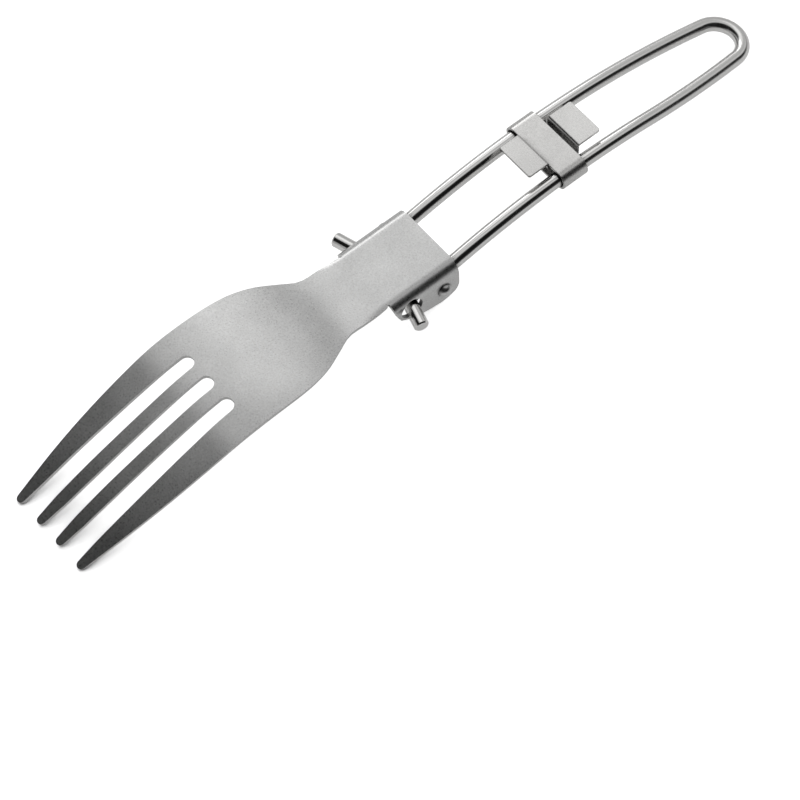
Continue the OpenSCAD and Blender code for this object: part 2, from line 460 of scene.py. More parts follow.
def make_brush_group():
    """Fine lines drawn along x, with a broken second set at a slant."""
    tree, start, end = new_group(
        "Brushed lines",
        [("Vector", "Vector", None), ("Slant", "Float", 0.3)],
        [("Lines", "Float"), ("Scratches", "Float")],
    )
    along = stretched(tree, start.outputs["Vector"], (120, 5200, 5200), -600, 200)
    lines = noise(tree, along, 1, 3, -300, 200)
    tree.links.new(remap(tree, lines, 0.32, 0.68, 0, 1, 100, 200), end.inputs["Lines"])
    slanted = stretched(tree, start.outputs["Vector"], (160, 3300, 3300), -600, -200, 0.5)
    marks = noise(tree, slanted, 1, 2, -300, -200)
    thin = remap(tree, marks, 0.66, 0.74, 0, 1, 0, -200)
    tree.links.new(
        math_node(tree, "MULTIPLY", 300, -200, thin, start.outputs["Slant"]), end.inputs["Scratches"]
    )
    return tree


def make_worn_and_painted_edge_group():
    """A mask of the worn cut edges: it lowers their roughness and carries the painted edge light put on
    their colour.
    """
    tree, start, end = new_group(
        "Worn edge and painted edge light", [("Radius", "Float", 0.00025), ("Breadth", "Float", 0.12)], [("Edge", "Float")]
    )
    rounded = add_node(tree, "Bevel", -600, 0, samples=8)
    tree.links.new(start.outputs["Radius"], rounded.inputs["Radius"])
    plain = add_node(tree, "NewGeometry", -600, -250)
    match = add_node(tree, "VectorMath", -300, 0, operation="DOT_PRODUCT")
    tree.links.new(rounded.outputs[0], match.inputs[0])
    tree.links.new(plain.outputs["Normal"], match.inputs[1])
    turned = math_node(tree, "SUBTRACT", 0, 0, 1.0, match.outputs["Value"])
    ready = add_node(tree, "MapRange", 300, 0)
    tree.links.new(turned, ready.inputs[0])
    tree.links.new(start.outputs["Breadth"], ready.inputs[2])
    tree.links.new(ready.outputs[0], end.inputs["Edge"])
    return tree


def make_painted_shade_group():
    """Painted shade: darkening of the colour, by ambient occlusion, where the sheet is folded close or
    the wire passes under it.
    """
    tree, start, end = new_group(
        "Painted shade in hollows", [("Reach", "Float", 0.0015), ("Depth", "Float", 0.8)], [("Tone", "Float")]
    )
    near = add_node(tree, "AmbientOcclusion", -500, 0, samples=8)
    tree.links.new(start.outputs["Reach"], near.inputs["Distance"])
    floor = math_node(tree, "SUBTRACT", -300, -200, 1.0, start.outputs["Depth"])
    tree.links.new(remap(tree, near.outputs["AO"], 0.48, 0.92, floor, 1, 0, 0), end.inputs["Tone"])
    return tree


def add_group(tree, group, x, y, **values):
    node = add_node(tree, "Group", x, y)
    node.node_tree = group
    for key, value in values.items():
        socket = node.inputs[key]
        if isinstance(value, (int, float)):
            socket.default_value = value
        else:
            tree.links.new(value, socket)
    return node


def new_material(name):
    material = bpy.data.materials.new(name)
    material.use_nodes = True
    tree = material.node_tree
    shader = tree.nodes["Principled BSDF"]
    shader.inputs["Metallic"].default_value = 1
    tree.nodes["Material Output"].location = (1500, 0)
    shader.location = (1200, 0)
    return material, tree, shader


def tinted(colour, amount):
    return tuple(min(c * amount, 1) for c in colour) + (1,)


def bump(tree, height, distance, strength, x, y, normal=None):
    node = add_node(tree, "Bump", x, y)
    node.inputs["Distance"].default_value = distance
    node.inputs["Strength"].default_value = strength
    tree.links.new(height, node.inputs["Height"])
    if normal is not None:
        tree.links.new(normal, node.inputs["Normal"])
    return node.outputs[0]


# Scales a colour by the painted shade in hollows, from ambient occlusion.
def with_painted_shade(tree, colour, groups, x, y):
    hollow = add_group(tree, groups["hollow"], x, y - 200)
    node = add_node(tree, "VectorMath", x + 250, y, operation="SCALE")
    tree.links.new(colour, node.inputs[0])
    tree.links.new(hollow.outputs["Tone"], node.inputs["Scale"])
    return node.outputs[0]


def make_satin_steel(name, colour, roughness, painted_edge_light, groups):
    """Tumbled and lightly brushed stainless sheet with worn cut edges. The edge factor scales the cut
    edges' colour: above 1 it paints a highlight on them, below 1 it paints shade; hollows get painted
    shade too.
    """
    material, tree, shader = new_material(name)
    place = add_node(tree, "TexCoord", -1200, 0).outputs["Object"]
    grain = add_group(tree, groups["grain"], -900, 200, Vector=place)
    brush = add_group(tree, groups["brush"], -900, -100, Vector=place)
    edge = add_group(tree, groups["edge"], -900, -400)
    speckled = blend_colour(
        tree, grain.outputs["Speckle"], tinted(colour, 0.8), tinted(colour, 1.12), -500, 500
    )
    cloud = remap(tree, grain.outputs["Cloud"], 0, 1, 0.94, 1.04, -500, 250)
    clouded = add_node(tree, "VectorMath", -250, 400, operation="SCALE")
    tree.links.new(speckled, clouded.inputs[0])
    tree.links.new(cloud, clouded.inputs["Scale"])
    # Painted edge light: the cut edges' colour is scaled by the edge factor, a painted highlight above
    # 1 and painted shade below 1.
    with_painted_edge_light = blend_colour(
        tree, edge.outputs["Edge"], clouded.outputs[0], tinted(colour, painted_edge_light), 0, 400
    )
    # Painted shade in hollows darkens the colour.
    tree.links.new(with_painted_shade(tree, with_painted_edge_light, groups, 300, 400), shader.inputs["Base Color"])
    speckle_rough = remap(
        tree, grain.outputs["Speckle"], 0, 1, roughness - 0.04, roughness + 0.05, -500, 0
    )
    line_rough = remap(tree, brush.outputs["Lines"], 0, 1, -0.012, 0.012, -500, -150)
    rough = math_node(tree, "ADD", -200, -50, speckle_rough, line_rough)
    scratch = math_node(tree, "MULTIPLY", -200, -200, brush.outputs["Scratches"], 0.12)
    scratched = math_node(tree, "SUBTRACT", 50, -100, rough, scratch)
    worn = math_node(tree, "MULTIPLY", 50, -300, edge.outputs["Edge"], 0.14)
    tree.links.new(math_node(tree, "SUBTRACT", 300, -150, scratched, worn), shader.inputs["Roughness"])
    faint = math_node(tree, "MULTIPLY", 100, -500, brush.outputs["Lines"], 0.2)
    relief = math_node(tree, "ADD", 300, -450, grain.outputs["Speckle"], faint)
    tree.links.new(bump(tree, relief, 0.00001, 0.35, 700, -400), shader.inputs["Normal"])
    return material


def make_polished_wire(name, colour, groups):
    """Drawn and polished wire, with faint rings of grinding towards the end loop; its sharp edges get a
    painted highlight and its hollows painted shade.
    """
    material, tree, shader = new_material(name)
    place = add_node(tree, "UVMap", -1500, 0, uv_map="UVMap").outputs["UV"]
    parts = add_node(tree, "SeparateXYZ", -1300, -300)
    tree.links.new(place, parts.inputs[0])
    drawn = noise(tree, stretched(tree, place, (140, 2.2, 1), -1300, 200), 1, 3, -1000, 200)
    rings = noise(tree, stretched(tree, place, (0.8, 260, 1), -1300, -50), 1, 2, -1000, -50)
    loop = remap(tree, parts.outputs["Y"], 0.56, 0.8, 0, 1, -1000, -300)
    ringed = math_node(tree, "MULTIPLY", -700, -100, rings, loop)
    edge = add_group(tree, groups["edge"], -700, -500, Radius=0.0002)
    smears = noise(tree, stretched(tree, place, (3, 14, 1), -1300, 450), 1, 3, -1000, 450)
    tone = blend_colour(
        tree, remap(tree, drawn, 0.3, 0.7, 0, 1, -700, 300),
        tinted(colour, 0.9), tinted(colour, 1.06), -400, 400,
    )
    # Painted highlight: the wire's sharp edges are lightened.
    with_edge_highlight = blend_colour(tree, edge.outputs["Edge"], tone, tinted(colour, 1.2), 0, 400)
    # Painted shade in hollows darkens the colour.
    tree.links.new(with_painted_shade(tree, with_edge_highlight, groups, 300, 400), shader.inputs["Base Color"])
    smear_rough = remap(tree, smears, 0.3, 0.7, 0.1, 0.18, -400, 100)
    ring_rough = remap(tree, ringed, 0, 1, 0, 0.16, -400, -100)
    tree.links.new(math_node(tree, "ADD", 0, 0, smear_rough, ring_rough), shader.inputs["Roughness"])
    relief = math_node(tree, "ADD", -200, -300, drawn, ringed)
    tree.links.new(bump(tree, relief, 0.00001, 0.3, 700, -300), shader.inputs["Normal"])
    return material


def make_finishes(finish):
    groups = {
        "grain": make_grain_group(),
        "brush": make_brush_group(),
        "edge": make_worn_and_painted_edge_group(),
        "hollow": make_painted_shade_group(),
    }
    return {
        # Edge factors: 1.2 paints a highlight on the head's cut edges, 0.55 paints shade on the clip's
        # cut edges.
        "head": make_satin_steel("Satin steel", finish.satin, 0.3, 1.2, groups),
        "wire": make_polished_wire("Polished wire", finish.polished, groups),
        "clip": make_satin_steel("Clip steel", finish.clip, 0.28, 0.55, groups),
    }


def finish_of(piece_name):
    """The named finish, made once for the whole fork."""
    if not FINISHES:
        FINISHES.update(make_finishes(bpy.context.scene.fork_finish))
    return FINISHES[piece_name]


FINISHES = {}


# ---- head ----

# Columns of half the head, from the middle outwards
MIDDLE_SLOT = 3
INNER_TINE = MIDDLE_SLOT + 6
OUTER_SLOT = INNER_TINE + 5
OUTER_TINE = OUTER_SLOT + 10
FOLD = OUTER_TINE + 8
EAR = FOLD + 10
CORNER = math.sqrt(0.5)
TIP_R = 0.95
SLOT_PITCH = 6.05


def rows_to(stops):
    """Stations from 0, each stop given as (place, spacing before it)."""
    rows = [0]
    for stop, spacing in stops:
        start = rows[-1]
        count = max(1, round((stop - start) / spacing))
        rows += [start + (stop - start) * k / count for k in range(1, count + 1)]
    return rows


class HeadShape:
    """The head's outline and dish, in millimetres from its rear edge."""

    def __init__(self, head):
        self.thickness = head.thickness / MM
        self.flat = (head.ear_width / 2 - head.fold_radius) / MM
        self.half_width = head.ear_width / 2 / MM
        self.fold_r = head.fold_radius / MM
        self.slot_r = head.slot_width / 2 / MM
        self.root = head.slot_start / MM + self.slot_r
        self.tip = head.length / MM - TIP_R
        closed_end = (self.root, self.slot_r, SLOT_PITCH - self.slot_r, SLOT_PITCH + self.slot_r)
        self.slot_lines = [
            [(stop[0], stop[k]) for stop in [closed_end] + SLOT_LINES] for k in (1, 2, 3)
        ]
        self.back = smooth_line(BACK_LINE)
        self.side = smooth_line(SIDE_LINE)
        self.dish = smooth_line(DISH_LINE)
        self.ear_bottom = smooth_line(EAR_BOTTOM)
        self.ear_front = smooth_line(EAR_FRONT)
        root_arc = [self.root - self.slot_r * math.cos(math.radians(a)) for a in (45, 60, 75, 90)]
        tip_arc = [self.tip + TIP_R * math.cos(math.radians(a)) for a in (75, 60, 45)]
        self.rows = rows_to([
            (3, 0.6), (12, 0.9), (NECK_X, 0.55), (17.6, 0.28), (NECK_END_X, 0.8), (46, 1.4),
            (root_arc[0], 1.1),
        ]) + root_arc[1:]
        self.root_row = self.rows.index(root_arc[0])
        self.neck_row = self.rows.index(NECK_X)
        steps = round((self.tip - self.root) / 1.2)
        self.rows += [mix(self.root, self.tip, k / steps) for k in range(1, steps + 1)] + tip_arc

    def slot_half(self, x):
        """Half width of a slot's round closed end, and of the strip in front of it."""
        front = self.root - self.slot_r * CORNER
        if x < front:
            return self.slot_r * CORNER * self.narrowing(x, front)
        return math.sqrt(self.slot_r ** 2 - (self.root - x) ** 2)

    def narrowing(self, x, front):
        return read_line(self.side, x) / read_line(self.side, front)

    def slot_middle(self, x):
        """Middle of an outer slot's closed end."""
        front = self.root - self.slot_r * CORNER
        return SLOT_PITCH * self.narrowing(x, front) if x < front else SLOT_PITCH

    def slot_edges(self, x):
        """Edge of the middle slot, then near and far edge of an outer slot."""
        if x > self.root:
            return [read_line(line, x) for line in self.slot_lines]
        half = self.slot_half(x)
        middle = self.slot_middle(x)
        return [half, middle - half, middle + half]

    def tip_pinch(self, x, near, far):
        """A tine's two edges, drawn in to its round tip."""
        if x <= self.tip:
            return near, far
        middle = (near + far) / 2
        half = math.sqrt(max(TIP_R ** 2 - (x - self.tip) ** 2, 0))
        return middle - half, middle + half

    def bands(self, x):
        """Edges of the strips from the middle outwards at station x."""
        middle_edge, near_edge, far_edge = self.slot_edges(x)
        inner = self.tip_pinch(x, middle_edge, near_edge)
        outer = self.tip_pinch(x, far_edge, read_line(self.side, x))
        return inner, outer

    def strip_place(self, x, column):
        """Distance from the middle, and how far across its strip a column is, from -1 to 1."""
        inner, outer = self.bands(x)
        if column <= MIDDLE_SLOT:
            t = column / MIDDLE_SLOT
            return inner[0] * t, t
        if column <= INNER_TINE:
            t = (column - MIDDLE_SLOT) / (INNER_TINE - MIDDLE_SLOT)
            return mix(*inner, t), 2 * t - 1
        if column <= OUTER_SLOT:
            t = (column - INNER_TINE) / (OUTER_SLOT - INNER_TINE)
            return mix(inner[1], outer[0], t), 2 * t - 1
        t = (column - OUTER_SLOT) / (OUTER_TINE - OUTER_SLOT)
        return mix(*outer, t), 2 * t - 1

    def in_slot(self, column):
        return column < MIDDLE_SLOT or INNER_TINE < column < OUTER_SLOT

    def height(self, x, y):
        width = read_line(self.side, x)
        sag = read_line(self.dish, x) * (y / width) ** 2
        return read_line(self.back, x) - sag

    def bend_over(self, x, y):
        """The sheet bent down past the flat of the plate, fading out along the neck."""
        fade = ease((NECK_END_X - x) / (NECK_END_X - NECK_X))
        past = y - self.flat
        if past <= 0 or fade <= 0:
            return y, 0
        r = self.fold_r / fade
        return self.flat + r * math.sin(past / r), r * (1 - math.cos(past / r))

    def blade_place(self, row, column):
        x = self.rows[row]
        y, across = self.strip_place(x, column)
        arc = math.sqrt(1 - across ** 2 / 2) - CORNER
        if self.in_slot(column):
            run = x - self.rows[self.root_row]
            if run <= 0:
                x -= self.slot_r * arc * ease(1 + run / 7)
        elif x > self.tip - 5:
            x += TIP_R * arc * ease(1 + (x - self.rows[-1]) / 5)
        bent, drop = self.bend_over(x, y)
        return x, bent, self.height(x, y) - drop

    def ear_place(self, row, column):
        share = self.rows[row] / NECK_X
        corner = EAR_BOTTOM[0][0]
        bottom = read_line(self.ear_bottom, mix(corner, EAR_BOTTOM[-1][0], share))
        if column <= FOLD:
            first = (read_line(self.side, 0) - self.flat) / self.fold_r
            turn = mix(first, math.pi / 2, (column - OUTER_TINE) / (FOLD - OUTER_TINE))
            y = self.flat + self.fold_r * math.sin(turn)
            drop = self.fold_r * (1 - math.cos(turn))
        else:
            y = self.half_width
            drop = mix(self.fold_r, bottom, (column - FOLD) / (EAR - FOLD))
        below = max(0, drop - EAR_REAR_STRAIGHT)
        rear = EAR_CORNER_R - math.sqrt(max(EAR_CORNER_R ** 2 - below ** 2, 0))
        return mix(rear, read_line(self.ear_front, drop), share), y, -drop

    def place(self, row, column):
        half = column - EAR
        side = math.copysign(1, half)
        if abs(half) > OUTER_TINE:
            x, y, z = self.ear_place(row, abs(half))
        else:
            x, y, z = self.blade_place(row, abs(half))
        return set_down(x, side * y, z)

    def waste(self, row, column):
        """True for the slots' faces and for the ears' faces past the neck."""
        half = column - EAR if column >= EAR else EAR - 1 - column
        if half >= OUTER_TINE:
            return row >= self.neck_row
        slot = half < MIDDLE_SLOT or INNER_TINE <= half < OUTER_SLOT
        return slot and row >= self.root_row


def add_hole_cutter():
    """A bar across the fork whose front half is drawn out towards the tines."""
    middle = set_down(HINGE_X, 0, HOLE_Z)
    bpy.ops.mesh.primitive_cylinder_add(
        vertices=64, radius=HOLE_R * MM, depth=CUTTER_LENGTH * MM, location=middle,
        rotation=(math.pi / 2, 0, 0),
    )
    cutter = bpy.context.object
    bpy.ops.object.transform_apply(location=True, rotation=True, scale=True)
    for v in cutter.data.vertices:
        drawn = HOLE_STRETCH * MM * max(0, v.co.x - middle.x) / (HOLE_R * MM)
        v.co.x += drawn
        v.co.z += 0.5 * drawn
    return cutter


def add_ball(y, radius):
    """A ball across the fork from the detent's place."""
    x, z = DETENT
    bpy.ops.mesh.primitive_uv_sphere_add(
        segments=48, ring_count=24, radius=radius * MM, location=set_down(x, y, z)
    )
    ball = bpy.context.object
    bpy.ops.object.transform_apply(location=True, rotation=True, scale=True)
    return ball


class FORK_OT_head(bpy.types.Operator):
    """Makes the stamped head: plate, ears, dished blade and four tines"""

    bl_idname = "fork.make_head"
    bl_label = "Make head"

    def execute(self, context):
        head = context.scene.fork_head
        shape = HeadShape(head)
        rows = len(shape.rows) - 1
        columns = 2 * EAR
        piece = add_sheet("head_sheet", rows, columns)
        cut_away(piece, rows, columns, shape.waste)
        form(piece, rows, columns, shape.place)
        thicken(piece, head.thickness)
        soften(piece, head.rim)
        self.press_detents(piece, shape, head)
        carve(piece, add_hole_cutter())
        shade(piece)
        finish_piece(piece, finish_of("head"), "head")
        return {"FINISHED"}

    def press_detents(self, piece, shape, head):
        """A round dent in the outside of each ear and the bump it raises inside."""
        bump_y = shape.half_width - shape.thickness - head.bump / MM + BUMP_BALL_R
        for side in (-1, 1):
            carve(piece, add_ball(side * bump_y, BUMP_BALL_R), "UNION")
            carve(piece, add_ball(side * shape.half_width, DENT_R))


# ---- handle ----

class WirePath:
    """The wire's middle line, in millimetres from the head's rear edge."""

    SLOPE = math.radians(5.7)
    PLATE_GAP = 0.1
    CREST_BACK = 30
    STRAIGHT = 1.6
    EXIT_R = 15
    BEND_R = 2.1
    BEND = math.radians(74)
    CLOSE_RUN = 25
    CREST_RISE = 0.06
    CHAMFER_LENGTH = 0.25
    CHAMFER_DEPTH = 0.22

    def __init__(self, wire, head):
        self.r = wire.diameter / 2 / MM
        self.leg_y = wire.leg_spread / MM
        self.crest_r = wire.crest_radius / MM
        self.fall = wire.fall
        self.loop_r = wire.loop_radius / MM
        self.ear_y = (head.ear_width - head.thickness) / 2 / MM
        self.pin_y = head.ear_width / 2 / MM + wire.pin_length / MM
        self.front_fall = math.asin((self.CREST_BACK - self.STRAIGHT) / self.crest_r)
        leg_z = -head.thickness / MM - self.PLATE_GAP - self.r
        rise = self.crest_r * (1 - math.cos(self.front_fall)) + self.CREST_RISE
        self.crest = Vector((-self.CREST_BACK, self.leg_y, leg_z + rise))

    @staticmethod
    def ahead(a):
        return Vector((math.cos(a), 0, -math.sin(a)))

    @staticmethod
    def back(a):
        return Vector((-math.cos(a), 0, -math.sin(a)))

    @staticmethod
    def above(a):
        return Vector((math.sin(a), 0, math.cos(a)))

    def arch(self, direction, angle, steps):
        """Points on the long arch, away from its crest."""
        line = []
        for k in range(steps + 1):
            t = angle * k / steps
            down = Vector((0, 0, 1 - math.cos(t)))
            line.append(self.crest + self.crest_r * (direction * math.sin(t) - down))
        return line

    def front(self):
        """From the crest to the free end of the right-hand leg."""
        y = Vector((0, 1, 0))
        line = self.arch(self.ahead(0), self.front_fall, 24)
        centre = line[-1] + self.EXIT_R * self.above(self.front_fall)
        turn = self.front_fall - self.SLOPE
        for k in range(1, 6):
            line.append(centre - self.EXIT_R * self.above(self.front_fall - turn * k / 5))
        bend_y = self.leg_y + self.BEND_R * (1 - math.cos(self.BEND))
        bend_run = self.BEND_R * math.sin(self.BEND) + (self.ear_y - bend_y) / math.tan(self.BEND)
        leg = (HINGE_X - line[-1].x) / math.cos(self.SLOPE) - bend_run
        start = line[-1]
        along = self.ahead(self.SLOPE)
        line += [start + leg * k / 6 * along for k in range(1, 6)]
        bend_c = start + leg * along + self.BEND_R * y
        for k in range(13):
            t = self.BEND * k / 12
            line.append(bend_c + self.BEND_R * (along * math.sin(t) - y * math.cos(t)))
        out = along * math.cos(self.BEND) + y * math.sin(self.BEND)
        run = (self.pin_y - line[-1].y) / out.y
        bend_end = line[-1]
        stops = (run * 0.2, run * 0.5, run * 0.8, run - self.CHAMFER_LENGTH, run)
        line += [bend_end + out * stop for stop in stops]
        return line

    def rear(self):
        """From the crest to the middle of the end loop."""
        y = Vector((0, 1, 0))
        line = self.arch(self.back(0), self.fall, 16)[1:]
        back = self.back(self.fall)
        close = 2 * math.atan((self.leg_y - self.loop_r) / self.CLOSE_RUN)
        close_r = self.CLOSE_RUN / math.sin(close)
        fit_r = (self.leg_y - close_r * (1 - math.cos(close))) / math.cos(close)
        start = line[-1]
        for k in range(1, 15):
            t = close * k / 14
            line.append(start + close_r * (back * math.sin(t) - y * (1 - math.cos(t))))
        centre = line[-1] - fit_r * (y * math.cos(close) + back * math.sin(close))
        for k in range(1, 25):
            t = mix(close, math.pi / 2, k / 24)
            line.append(centre + fit_r * (y * math.cos(t) + back * math.sin(t)))
        return line

    def points(self):
        half = self.front()[::-1] + self.rear()
        other = [Vector((p.x, -p.y, p.z)) for p in half[-2::-1]]
        return half + other


class FORK_OT_handle(bpy.types.Operator):
    """Makes the bent wire handle from one length of wire"""

    bl_idname = "fork.make_handle"
    bl_label = "Make handle"
    SIDES = 28

    def execute(self, context):
        path = WirePath(context.scene.fork_wire, context.scene.fork_head)
        line = path.points()
        rows = len(line) - 1
        piece = add_sheet("wire", rows, self.SIDES)
        lengths = [0]
        for a, b in zip(line, line[1:]):
            lengths.append(lengths[-1] + (b - a).length)
        half = lengths[-1] / 2
        self.unroll(piece, rows, [1 - abs(s - half) / half for s in lengths])
        form(piece, rows, self.SIDES, lambda row, side: self.wall(path, line, row, side))
        self.close_up(piece)
        shade(piece, 40)
        finish_piece(piece, finish_of("wire"), "handle")
        return {"FINISHED"}

    def unroll(self, piece, rows, shares):
        """Lays the texture along the wire, 0 at a free end and 1 at the loop."""
        layer = piece.data.uv_layers.active
        layer.name = "UVMap"
        for loop, corner in zip(piece.data.loops, layer.data):
            co = piece.data.vertices[loop.vertex_index].co
            corner.uv = (co.y + 0.5, shares[round((co.x + 0.5) * rows)])

    def wall(self, path, line, row, side):
        last = len(line) - 1
        tangent = (line[min(row + 1, last)] - line[max(row - 1, 0)]).normalized()
        across = tangent.cross(Vector((0, 0, 1))).normalized()
        up = across.cross(tangent)
        angle = -2 * math.pi * side / self.SIDES
        r = path.r - path.CHAMFER_DEPTH if row in (0, last) else path.r
        return set_down(*(line[row] + r * (across * math.cos(angle) + up * math.sin(angle))))

    def close_up(self, piece):
        start_edit(piece)
        join_corners()
        bpy.ops.mesh.select_all(action="DESELECT")
        bm = bmesh.from_edit_mesh(piece.data)
        for edge in bm.edges:
            edge.select_set(edge.is_boundary)
        bmesh.update_edit_mesh(piece.data)
        bpy.ops.mesh.fill_holes(sides=0)
        bpy.ops.mesh.select_all(action="SELECT")
        bpy.ops.mesh.normals_make_consistent(inside=False)
        end_edit()


# ---- lock clip ----

class FORK_OT_clip(bpy.types.Operator):
    """Makes the lock clip: a flat sleeve round both wires, with two tabs"""

    bl_idname = "fork.make_clip"
    bl_label = "Make lock clip"
    REACH = 0.8
    STEP_UP = 1.5
    LOCK_TAB = 5.4
    THUMB_TAB = 6.8
    THUMB_RISE = 4.5
    CRIMP = 0.75
    STEEP = math.radians(88)
    THUMB_GAP = 1.62
    RIM = 0.00008

    def execute(self, context):
        clip = context.scene.fork_clip
        path = WirePath(context.scene.fork_wire, context.scene.fork_head)
        sheet = clip.thickness / MM
        outer = path.r + self.REACH
        half = clip.sleeve_length / MM / 2
        tab = clip.tab_width / MM / 2
        seam = self.section(path.leg_y, outer, tab)
        rows = 8
        piece = add_sheet("clip", rows, len(seam) - 1)

        def place(row, column):
            y, z = seam[column]
            return set_down(path.crest.x + mix(-half, half, row / rows), y, path.crest.z + z)

        form(piece, rows, len(seam) - 1, place)
        start_edit(piece)
        join_corners()
        end_edit()
        corner = clip.corner / MM
        for start, line in (
            ((half, outer), self.lock_line(half, outer)),
            ((-half, -outer), self.thumb_line(half, outer, sheet)),
        ):
            self.draw_tab(piece, path, tab, corner, start, line)
        thicken(piece, clip.thickness)
        soften(piece, self.RIM)
        shade(piece)
        finish_piece(piece, finish_of("clip"), "lock_clip")
        return {"FINISHED"}

    def section(self, leg_y, outer, tab):
        """The sleeve's outline across the wires, once round, starting under the left wire."""
        def turn(side, first):
            return [
                (side * (leg_y + outer * math.sin(a)), side * outer * math.cos(a))
                for a in (first + math.pi * k / 16 for k in range(17))
            ]

        flat = [mix(-tab, tab, k / 8) for k in range(9)]
        top = [(y, outer) for y in flat]
        under = [(y, -outer) for y in flat[::-1]]
        ring = top + turn(1, 0) + under + turn(-1, 0)
        return ring + ring[:1]

    def lock_line(self, half, outer):
        """Side view of the lock tab's upper surface: (ahead, up)."""
        tight, wide, steep = 0.2, 0.6, math.radians(80)
        line = []
        for k in range(1, 6):
            a = steep * k / 5
            line.append((half + tight * math.sin(a), outer + tight * (1 - math.cos(a))))
        riser = self.STEP_UP - (tight + wide) * (1 - math.cos(steep))
        x0 = line[-1][0] + riser / math.tan(steep) + wide * math.sin(steep)
        top = outer + self.STEP_UP
        for k in range(6, -1, -1):
            a = steep * k / 6
            line.append((x0 - wide * math.sin(a), top - wide * (1 - math.cos(a))))
        end = half + self.LOCK_TAB
        flat = [x0 + 1, x0 + 2.4, end - 0.7, end - 0.4, end - 0.2, end - 0.05, end]
        return line + [(x, top) for x in flat]

    def thumb_line(self, half, outer, sheet):
        """Side view of the thumb tab's under surface, as it rises between the wires."""
        big = self.CRIMP + sheet
        small = self.CRIMP - sheet
        line = []
        for k in range(1, 7):
            a = self.STEEP * k / 6
            line.append((-half - big * math.sin(a), -outer + big * (1 - math.cos(a))))
        top = -outer + self.THUMB_RISE
        x0 = -half - self.THUMB_GAP
        for k in range(6, -1, -1):
            a = self.STEEP * k / 6
            line.append((x0 + small * math.sin(a), top - small * (1 - math.cos(a))))
        end = -half - self.THUMB_TAB
        flat = [x0 - 1.4, x0 - 3.2, end + 0.7, end + 0.4, end + 0.2, end + 0.05, end]
        return line + [(x, top) for x in flat]

    def draw_tab(self, piece, path, tab, corner, start, line):
        """Draws the sleeve's edge out along a line, rounding the last corners."""
        start_edit(piece)
        bm = bmesh.from_edit_mesh(piece.data)
        bm.select_mode = {"EDGE"}
        reach = 0.02 * MM
        at = set_down(path.crest.x + start[0], 0, path.crest.z + start[1])
        for edge in bm.edges:
            ends = [v.co for v in edge.verts]
            edge.select_set(edge.is_boundary and all(
                abs(p.x - at.x) < reach and abs(p.z - at.z) < reach and abs(p.y) < tab * MM + reach
                for p in ends
            ))
        end = line[-1][0]
        for x, z in line:
            bmesh.update_edit_mesh(piece.data)
            bpy.ops.mesh.extrude_edges_move()
            bm = bmesh.from_edit_mesh(piece.data)
            left = corner - abs(end - x)
            inset = corner - math.sqrt(corner ** 2 - left ** 2) if left > 0 else 0
            now = set_down(path.crest.x + x, 0, path.crest.z + z)
            for v in bm.verts:
                if v.select:
                    share = max(-1, min(1, round(v.co.y / (tab * MM) * 4) / 4))
                    v.co = Vector((now.x, share * (tab - inset) * MM, now.z))
        bmesh.update_edit_mesh(piece.data)
        end_edit()


# ---- stage ----

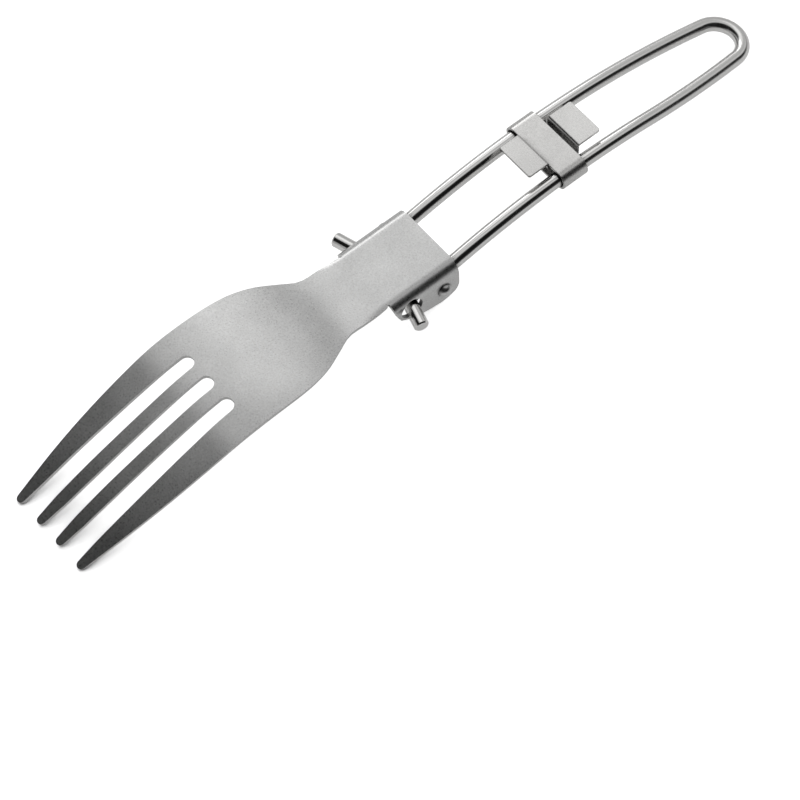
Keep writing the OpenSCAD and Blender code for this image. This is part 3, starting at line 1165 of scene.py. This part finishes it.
class FORK_OT_stage(bpy.types.Operator):
    """Makes the pale floor, the soft lights and the camera"""

    bl_idname = "fork.make_stage"
    bl_label = "Make stage"
    # The room's greys, as (place between dark and bright, grey)
    ROOM_TONES = (
        (0, 0.005), (0.7, 0.01), (0.76, 0.03), (0.79, 0.12),
        (0.83, 0.75), (0.87, 0.8), (0.92, 0.56), (1, 0.52),
    )
    # Soft boxes: (name, place, size across, size along, power)
    SOFT_BOXES = (
        ("overhead", (-0.45, -0.6, 1.1), 0.7, 0.6, 0.76),
        ("behind", (-0.42, -1.05, 0.62), 0.8, 0.42, 1.7),
    )
    MODEL_MIDDLE = Vector((0, 0, 0.005))

    def execute(self, context):
        stage = context.scene.fork_stage
        self.lay_floor()
        self.hang_lights(stage)
        self.light_room()
        self.set_camera(context, stage)
        context.scene.view_settings.view_transform = "Standard"
        return {"FINISHED"}

    def lay_floor(self):
        bpy.ops.mesh.primitive_grid_add(x_subdivisions=4, y_subdivisions=4, size=6)
        floor = bpy.context.object
        floor.name = "floor"
        material = bpy.data.materials.new("Pale floor")
        material.use_nodes = True
        shader = material.node_tree.nodes["Principled BSDF"]
        shader.inputs["Base Color"].default_value = (0.93, 0.93, 0.93, 1)
        shader.inputs["Roughness"].default_value = 0.9
        shader.inputs["Specular IOR Level"].default_value = 0.1
        shader.inputs["Emission Color"].default_value = (1, 1, 1, 1)
        tree = material.node_tree
        # Painted shadow: to the camera the floor glows at up to 0.9, cut down by ambient occlusion near
        # and under the fork; in reflections and light it glows evenly at 0.3.
        open_sky = add_node(tree, "AmbientOcclusion", -900, -200, samples=8)
        open_sky.inputs["Distance"].default_value = 0.007
        clear = remap(tree, open_sky.outputs["AO"], 0.4, 0.7, 0, 0.9, -650, -200)
        path = add_node(tree, "LightPath", -900, -500)
        glow_with_painted_shadow = remap(tree, path.outputs["Is Camera Ray"], 0, 1, 0.3, clear, -400, -300)
        tree.links.new(glow_with_painted_shadow, shader.inputs["Emission Strength"])
        floor.data.materials.append(material)

    def hang_lights(self, stage):
        for name, place, across, along, power in self.SOFT_BOXES:
            bpy.ops.object.light_add(type="AREA", location=place)
            light = bpy.context.object
            light.name = f"light_{name}"
            light.data.shape = "RECTANGLE"
            light.data.size = across
            light.data.size_y = along
            light.data.energy = power * stage.light
            sight = self.MODEL_MIDDLE - Vector(place)
            light.rotation_euler = sight.to_track_quat("-Z", "Y").to_euler()

    def light_room(self):
        """A grey room: bright overhead and behind the handle's end, dark towards the tines.

        Low down it is grey towards -Y and dark towards +Y.
        """
        world = bpy.data.worlds.new("Studio")
        world.use_nodes = True
        tree = world.node_tree
        back = tree.nodes["Background"]
        place = add_node(tree, "TexCoord", -1100, 0).outputs["Generated"]
        lean = add_node(tree, "VectorMath", -900, 0, operation="DOT_PRODUCT")
        lean.inputs[1].default_value = (-0.55, -0.35, 0.9)
        tree.links.new(place, lean.inputs[0])
        share = remap(tree, lean.outputs["Value"], -0.6, 1.15, 0, 1, -700, 0)
        ramp = add_node(tree, "ValToRGB", -400, 0)
        tree.links.new(share, ramp.inputs[0])
        ramp.color_ramp.elements[0].position = self.ROOM_TONES[0][0]
        ramp.color_ramp.elements[1].position = self.ROOM_TONES[-1][0]
        for at, _ in self.ROOM_TONES[1:-1]:
            ramp.color_ramp.elements.new(at)
        for element, (_, grey) in zip(ramp.color_ramp.elements, self.ROOM_TONES):
            element.color = (grey, grey, grey, 1)
        parts = add_node(tree, "SeparateXYZ", -900, -300)
        tree.links.new(place, parts.inputs[0])
        high = remap(tree, parts.outputs["Z"], 0.34, 0.46, 0, 1, -700, -300)
        side = remap(tree, parts.outputs["Y"], -0.1, 0.3, 0, 1, -700, -500)
        dark = remap(tree, parts.outputs["Z"], 0, 0.25, 0.4, 0.015, -700, -700)
        band = blend_colour(tree, side, (0.45, 0.45, 0.45, 1), dark, -400, -400)
        room = blend_colour(tree, high, band, ramp.outputs[0], -100, -100)
        tree.links.new(room, back.inputs["Color"])
        bpy.context.scene.world = world

    def set_camera(self, context, stage):
        towards = Vector((
            math.cos(stage.elevation) * math.cos(stage.azimuth),
            math.cos(stage.elevation) * math.sin(stage.azimuth),
            math.sin(stage.elevation),
        ))
        level = Vector((0, 0, 1)).cross(towards).normalized()
        rise = towards.cross(level)
        right = level * math.cos(stage.roll) + rise * math.sin(stage.roll)
        up = towards.cross(right)
        bpy.ops.object.camera_add()
        camera = bpy.context.object
        camera.name = "camera"
        camera.data.lens = stage.lens
        camera.data.clip_start = 0.01
        turn = Matrix((right, up, towards)).transposed().to_4x4()
        camera.matrix_world = Matrix.Translation(Vector(stage.aim) + towards * stage.distance) @ turn
        context.scene.camera = camera


class FORK_PT_panel(bpy.types.Panel):
    """The fork's sizes, finishes and makers"""

    bl_idname = "FORK_PT_panel"
    bl_label = "Camp fork"
    bl_space_type = "VIEW_3D"
    bl_region_type = "UI"
    bl_category = "Camp fork"

    def draw(self, context):
        scene = context.scene
        for settings, operator in (
            (scene.fork_head, FORK_OT_head), (scene.fork_wire, FORK_OT_handle),
            (scene.fork_clip, FORK_OT_clip), (scene.fork_stage, FORK_OT_stage),
        ):
            box = self.layout.box()
            for name in settings.__annotations__:
                box.prop(settings, name)
            box.operator(operator.bl_idname)
        box = self.layout.box()
        for name in scene.fork_finish.__annotations__:
            box.prop(scene.fork_finish, name)


SETTINGS = {
    "fork_head": HeadSettings,
    "fork_wire": WireSettings,
    "fork_clip": ClipSettings,
    "fork_finish": FinishSettings,
    "fork_stage": StageSettings,
}
CLASSES = [*SETTINGS.values(), FORK_OT_head, FORK_OT_handle, FORK_OT_clip, FORK_OT_stage, FORK_PT_panel]


def register():
    for cls in CLASSES:
        bpy.utils.register_class(cls)
    for name, cls in SETTINGS.items():
        setattr(bpy.types.Scene, name, bpy.props.PointerProperty(type=cls))


def unregister():
    for name in SETTINGS:
        delattr(bpy.types.Scene, name)
    for cls in reversed(CLASSES):
        bpy.utils.unregister_class(cls)


def main():
    register()
    bpy.ops.fork.make_stage()
    bpy.ops.fork.make_head()
    bpy.ops.fork.make_handle()
    bpy.ops.fork.make_clip()


if __name__ == "__main__":
    main()
